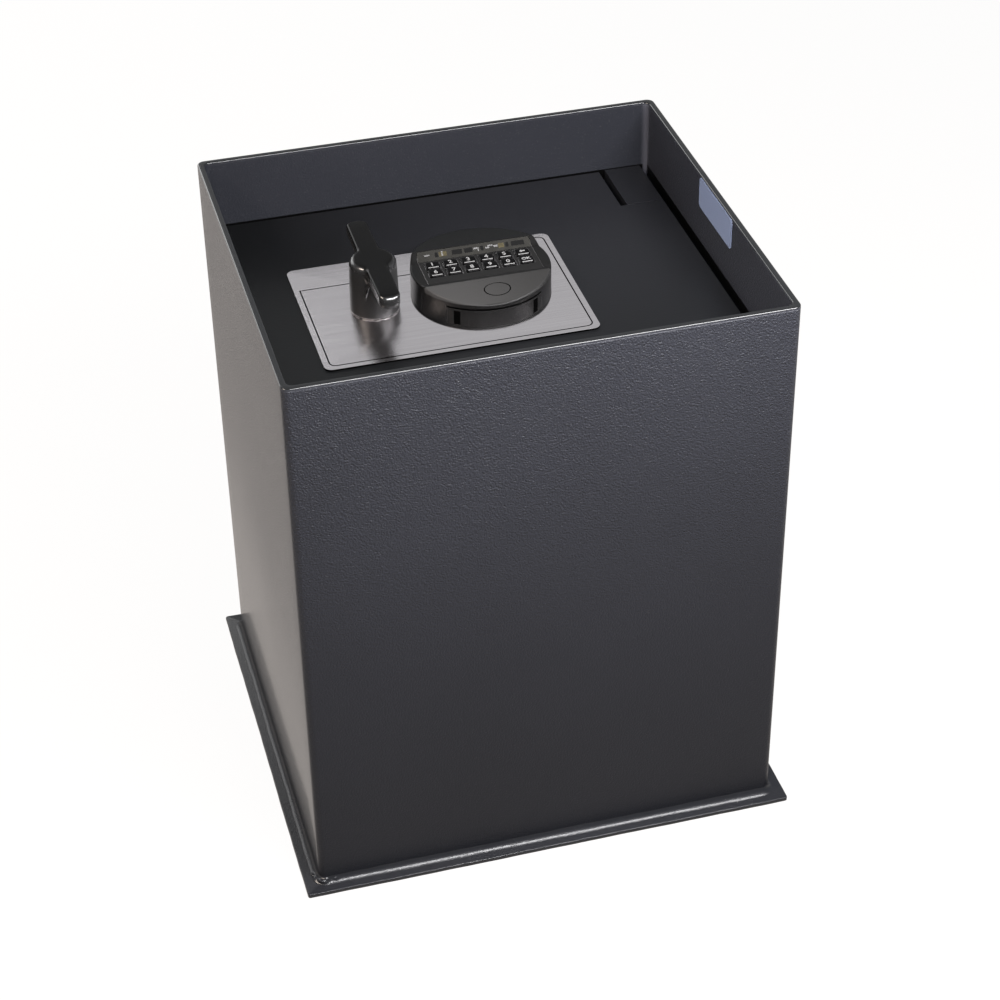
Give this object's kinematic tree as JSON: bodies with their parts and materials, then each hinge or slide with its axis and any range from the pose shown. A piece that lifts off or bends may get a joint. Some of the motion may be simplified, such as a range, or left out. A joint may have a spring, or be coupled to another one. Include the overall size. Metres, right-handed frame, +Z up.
{
  "type": "floor safe",
  "caption": "Cast-in floor safe: welded box with a flange, recessed lift-up door, T handle that throws side bolts, and a round electronic keypad with a battery drawer.",
  "frame": {"origin": "centre of the base plate's underside", "axes": "+Z up towards the rim; the front of the safe faces -Y; the door's hinge is on the +X side"},
  "size_m": [0.33, 0.3, 0.385],
  "materials": {
    "powder_coat": "charcoal powder coat with a fine pebbled texture",
    "brushed_plate": "brushed, with an engraved black border line",
    "label_film": "blank silvery film label",
    "bright_steel": "turned and zinc plated",
    "dark_steel": "dark phosphated steel",
    "zinc_sheet": "zinc plated sheet",
    "lock_casting": "as-cast zinc alloy",
    "brass": "machined",
    "coil_tape": "amber coil tape",
    "handle_black": "satin black painted casting",
    "keypad_plastic": "fine moulded texture",
    "smoked_window": "smoked clear plastic",
    "amber_lens": "clear amber",
    "board_green": "solder mask",
    "silicone": "moulded silicone",
    "cable_sleeve": "sleeved cable",
    "cell_wrap": "printed foil sleeve, left plain",
    "key_black": "moulded keys with white legends"
  },
  "bodies": {
    "safe_body": {"body_shell": "powder_coat", "base_plate": "powder_coat", "base_weld": "powder_coat", "ledge_left": "powder_coat", "ledge_front": "powder_coat", "ledge_back": "powder_coat", "hinge_ledge": "powder_coat", "hinge_block_rear": "powder_coat", "hinge_block_front": "powder_coat", "hinge_pins": "bright_steel", "label_plate": "label_film"},
    "door": {"door_plate": "powder_coat", "face_plate": "brushed_plate", "handle_bush": "brass", "bolt_guide": "dark_steel", "guide_studs": "bright_steel", "standoffs": "bright_steel", "boltwork_cover": "zinc_sheet", "cover_screws": "bright_steel", "hard_plate": "dark_steel", "lock_case": "lock_casting", "lock_lid": "lock_casting", "lock_solenoid": "coil_tape", "lock_screws": "bright_steel", "keypad_base": "keypad_plastic", "keypad_screws": "bright_steel", "keypad_housing": "keypad_plastic", "key_frame": "keypad_plastic", "display_window": "smoked_window", "indicator_lights": "amber_lens", "keypad_board": "board_green", "key_mat": "silicone", "keypad_cable": "cable_sleeve"},
    "handle": {"t_handle": "handle_black", "handle_spindle": "bright_steel", "crank_disc": "dark_steel", "crank_pin": "bright_steel", "spindle_clip": "bright_steel", "handle_screw": "dark_steel"},
    "boltwork": {"bolt_carrier": "zinc_sheet", "locking_bolts": "bright_steel", "bolt_screws": "dark_steel"},
    "lock_tongue": {"lock_bolt": "brass"},
    "drawer": {"battery_drawer": "keypad_plastic", "battery_cells": "cell_wrap"},
    "key_1_body": {"key_1": "key_black"},
    "key_2_body": {"key_2": "key_black"},
    "key_3_body": {"key_3": "key_black"},
    "key_4_body": {"key_4": "key_black"},
    "key_5_body": {"key_5": "key_black"},
    "key_up_body": {"key_up": "key_black"},
    "key_6_body": {"key_6": "key_black"},
    "key_7_body": {"key_7": "key_black"},
    "key_8_body": {"key_8": "key_black"},
    "key_9_body": {"key_9": "key_black"},
    "key_0_body": {"key_0": "key_black"},
    "key_ok_body": {"key_ok": "key_black"}
  },
  "joints": [
    {"name": "door_hinge", "type": "hinge", "parent": "safe_body", "child": "door", "pos_m": [0.1335, 0, 0.332], "axis": [0, 1, 0], "range_deg": [0, 100]},
    {"name": "handle_turn", "type": "hinge", "parent": "door", "child": "handle", "pos_m": [-0.0697, 0.005, 0.3395], "axis": [0, 0, 1], "range_deg": [0, 90]},
    {"name": "bolt_throw", "type": "slide", "parent": "door", "child": "boltwork", "axis": [-1, 0, 0], "range_m": [0, 0.017]},
    {"name": "lock_tongue_slide", "type": "slide", "parent": "door", "child": "lock_tongue", "axis": [0, 1, 0], "range_m": [0, 0.009]},
    {"name": "battery_drawer_slide", "type": "slide", "parent": "door", "child": "drawer", "axis": [0, -1, 0], "range_m": [0, 0.04]},
    {"name": "key_1_press", "type": "slide", "parent": "door", "child": "key_1_body", "axis": [0, 0, -1], "range_m": [0, 0.0008], "stiffness_N_per_m": 500},
    {"name": "key_2_press", "type": "slide", "parent": "door", "child": "key_2_body", "axis": [0, 0, -1], "range_m": [0, 0.0008], "stiffness_N_per_m": 500},
    {"name": "key_3_press", "type": "slide", "parent": "door", "child": "key_3_body", "axis": [0, 0, -1], "range_m": [0, 0.0008], "stiffness_N_per_m": 500},
    {"name": "key_4_press", "type": "slide", "parent": "door", "child": "key_4_body", "axis": [0, 0, -1], "range_m": [0, 0.0008], "stiffness_N_per_m": 500},
    {"name": "key_5_press", "type": "slide", "parent": "door", "child": "key_5_body", "axis": [0, 0, -1], "range_m": [0, 0.0008], "stiffness_N_per_m": 500},
    {"name": "key_up_press", "type": "slide", "parent": "door", "child": "key_up_body", "axis": [0, 0, -1], "range_m": [0, 0.0008], "stiffness_N_per_m": 500},
    {"name": "key_6_press", "type": "slide", "parent": "door", "child": "key_6_body", "axis": [0, 0, -1], "range_m": [0, 0.0008], "stiffness_N_per_m": 500},
    {"name": "key_7_press", "type": "slide", "parent": "door", "child": "key_7_body", "axis": [0, 0, -1], "range_m": [0, 0.0008], "stiffness_N_per_m": 500},
    {"name": "key_8_press", "type": "slide", "parent": "door", "child": "key_8_body", "axis": [0, 0, -1], "range_m": [0, 0.0008], "stiffness_N_per_m": 500},
    {"name": "key_9_press", "type": "slide", "parent": "door", "child": "key_9_body", "axis": [0, 0, -1], "range_m": [0, 0.0008], "stiffness_N_per_m": 500},
    {"name": "key_0_press", "type": "slide", "parent": "door", "child": "key_0_body", "axis": [0, 0, -1], "range_m": [0, 0.0008], "stiffness_N_per_m": 500},
    {"name": "key_ok_press", "type": "slide", "parent": "door", "child": "key_ok_body", "axis": [0, 0, -1], "range_m": [0, 0.0008], "stiffness_N_per_m": 500}
  ],
  "couplings": [
    {"joint": "bolt_throw", "follows": "handle_turn", "m_per_rad": 0.010804},
    {"joint": "lock_tongue_slide", "follows": "handle_turn", "m_per_rad": 0.005729}
  ]
}
